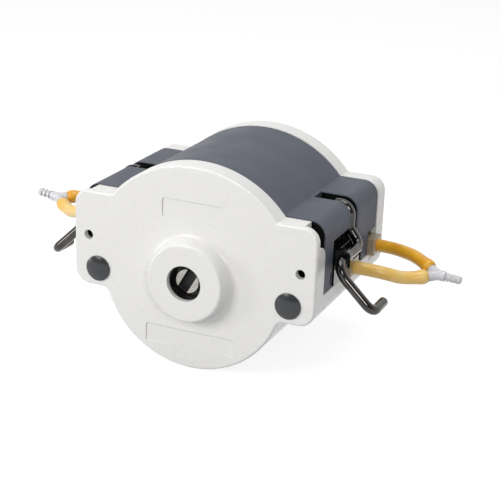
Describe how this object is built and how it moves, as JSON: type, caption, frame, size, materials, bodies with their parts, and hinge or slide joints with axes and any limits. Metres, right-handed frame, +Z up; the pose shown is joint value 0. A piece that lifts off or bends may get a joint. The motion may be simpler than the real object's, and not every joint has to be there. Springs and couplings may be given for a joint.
{
  "type": "peristaltic pump head",
  "caption": "Twin-channel peristaltic pump head: round-bellied white housing, dark lift-off cover held by two bent-wire latches, roller rotor inside, and yellow tubing joined by Y connectors.",
  "frame": {"origin": "on the rotor axis, in the plane of the rear face that sits on the drive, at the pilot spigot", "axes": "+X to the right seen from the front, +Y along the rotor towards the drive, +Z up; the front faces -Y"},
  "size_m": [0.2967, 0.1364, 0.1271],
  "materials": {
    "housing_white": "glossy off-white moulding",
    "cover_dark": "satin dark blue-grey moulding",
    "track": "smooth low-friction plastic",
    "lever_black_chrome": "polished black chrome",
    "block_black": "glossy black",
    "cap_dark": "satin dark grey",
    "steel": "turned",
    "carrier": "machined",
    "bush": "plain",
    "roller": "ground",
    "tube": "satin yellow elastomer",
    "stop": "beige, slightly translucent",
    "connector": "milky"
  },
  "bodies": {
    "head": {"bearing_outer_race_front": "steel", "bearing_outer_race_rear": "steel", "cover_cap_left": "cap_dark", "cover_cap_right": "cap_dark", "latch_block_left": "block_black", "latch_block_right": "block_black", "latch_screws": "steel", "mounting_sleeves": "steel", "pump_housing": "housing_white", "pump_tube_front": "tube", "pump_tube_rear": "tube", "rear_cover": "housing_white", "tie_bolts": "steel", "tie_nuts": "steel", "tube_stop_front_left": "stop", "tube_stop_front_right": "stop", "tube_stop_rear_left": "stop", "tube_stop_rear_right": "stop", "y_connector_left": "connector", "y_connector_right": "connector"},
    "cover": {"occlusion_track_front": "track", "occlusion_track_rear": "track", "top_cover": "cover_dark"},
    "lever_right": {"latch_lever_right": "lever_black_chrome"},
    "lever_left": {"latch_lever_left": "lever_black_chrome"},
    "rotor": {"ball_row_front": "steel", "ball_row_rear": "steel", "bearing_inner_race_front": "steel", "bearing_inner_race_rear": "steel", "drive_shaft": "steel", "retaining_rings": "steel", "roller_carrier_front_ahead": "carrier", "roller_carrier_front_behind": "carrier", "roller_carrier_rear_ahead": "carrier", "roller_carrier_rear_behind": "carrier", "roller_pins_front": "steel", "roller_pins_rear": "steel", "shaft_keys": "steel", "shaft_sleeve_front_end": "steel", "shaft_sleeve_front_set": "steel", "shaft_sleeve_middle": "steel", "shaft_sleeve_rear_end": "steel", "shaft_sleeve_rear_set": "steel"},
    "roller_front_1": {"roller_front_1": "roller", "roller_bush_front_1": "bush"},
    "roller_front_2": {"roller_front_2": "roller", "roller_bush_front_2": "bush"},
    "roller_front_3": {"roller_front_3": "roller", "roller_bush_front_3": "bush"},
    "roller_front_4": {"roller_front_4": "roller", "roller_bush_front_4": "bush"},
    "roller_rear_1": {"roller_rear_1": "roller", "roller_bush_rear_1": "bush"},
    "roller_rear_2": {"roller_rear_2": "roller", "roller_bush_rear_2": "bush"},
    "roller_rear_3": {"roller_rear_3": "roller", "roller_bush_rear_3": "bush"},
    "roller_rear_4": {"roller_rear_4": "roller", "roller_bush_rear_4": "bush"}
  },
  "joints": [
    {"name": "cover_lift", "type": "slide", "parent": "head", "child": "cover", "axis": [0, 0, 1], "range_m": [0, 0.01]},
    {"name": "latch_right", "type": "hinge", "parent": "head", "child": "lever_right", "pos_m": [0.0839, -0.078, 0.0176], "axis": [0, 1, 0], "range_deg": [0, 42]},
    {"name": "latch_left", "type": "hinge", "parent": "head", "child": "lever_left", "pos_m": [-0.0839, -0.078, 0.0176], "axis": [0, 1, 0], "range_deg": [-42, 0]},
    {"name": "rotor_spin", "type": "hinge", "parent": "head", "child": "rotor", "pos_m": [0, 0, 0], "axis": [0, 1, 0], "continuous": true},
    {"name": "roller_front_1_spin", "type": "hinge", "parent": "rotor", "child": "roller_front_1", "pos_m": [0, -0.0625, 0.0426], "axis": [0, 1, 0], "continuous": true},
    {"name": "roller_front_2_spin", "type": "hinge", "parent": "rotor", "child": "roller_front_2", "pos_m": [-0.0426, -0.0625, 0], "axis": [0, 1, 0], "continuous": true},
    {"name": "roller_front_3_spin", "type": "hinge", "parent": "rotor", "child": "roller_front_3", "pos_m": [0, -0.0625, -0.0426], "axis": [0, 1, 0], "continuous": true},
    {"name": "roller_front_4_spin", "type": "hinge", "parent": "rotor", "child": "roller_front_4", "pos_m": [0.0426, -0.0625, 0], "axis": [0, 1, 0], "continuous": true},
    {"name": "roller_rear_1_spin", "type": "hinge", "parent": "rotor", "child": "roller_rear_1", "pos_m": [-0.03012, -0.0205, 0.03012], "axis": [0, 1, 0], "continuous": true},
    {"name": "roller_rear_2_spin", "type": "hinge", "parent": "rotor", "child": "roller_rear_2", "pos_m": [-0.03012, -0.0205, -0.03012], "axis": [0, 1, 0], "continuous": true},
    {"name": "roller_rear_3_spin", "type": "hinge", "parent": "rotor", "child": "roller_rear_3", "pos_m": [0.03012, -0.0205, -0.03012], "axis": [0, 1, 0], "continuous": true},
    {"name": "roller_rear_4_spin", "type": "hinge", "parent": "rotor", "child": "roller_rear_4", "pos_m": [0.03012, -0.0205, 0.03012], "axis": [0, 1, 0], "continuous": true}
  ],
  "couplings": [
    {"joint": "latch_right", "follows": "cover_lift", "rad_per_m": 73.3},
    {"joint": "latch_left", "follows": "cover_lift", "rad_per_m": -73.3},
    {"joint": "roller_front_1_spin", "follows": "rotor_spin", "ratio": -6.325},
    {"joint": "roller_front_2_spin", "follows": "rotor_spin", "ratio": -6.325},
    {"joint": "roller_front_3_spin", "follows": "rotor_spin", "ratio": -6.325},
    {"joint": "roller_front_4_spin", "follows": "rotor_spin", "ratio": -6.325},
    {"joint": "roller_rear_1_spin", "follows": "rotor_spin", "ratio": -6.325},
    {"joint": "roller_rear_2_spin", "follows": "rotor_spin", "ratio": -6.325},
    {"joint": "roller_rear_3_spin", "follows": "rotor_spin", "ratio": -6.325},
    {"joint": "roller_rear_4_spin", "follows": "rotor_spin", "ratio": -6.325}
  ]
}
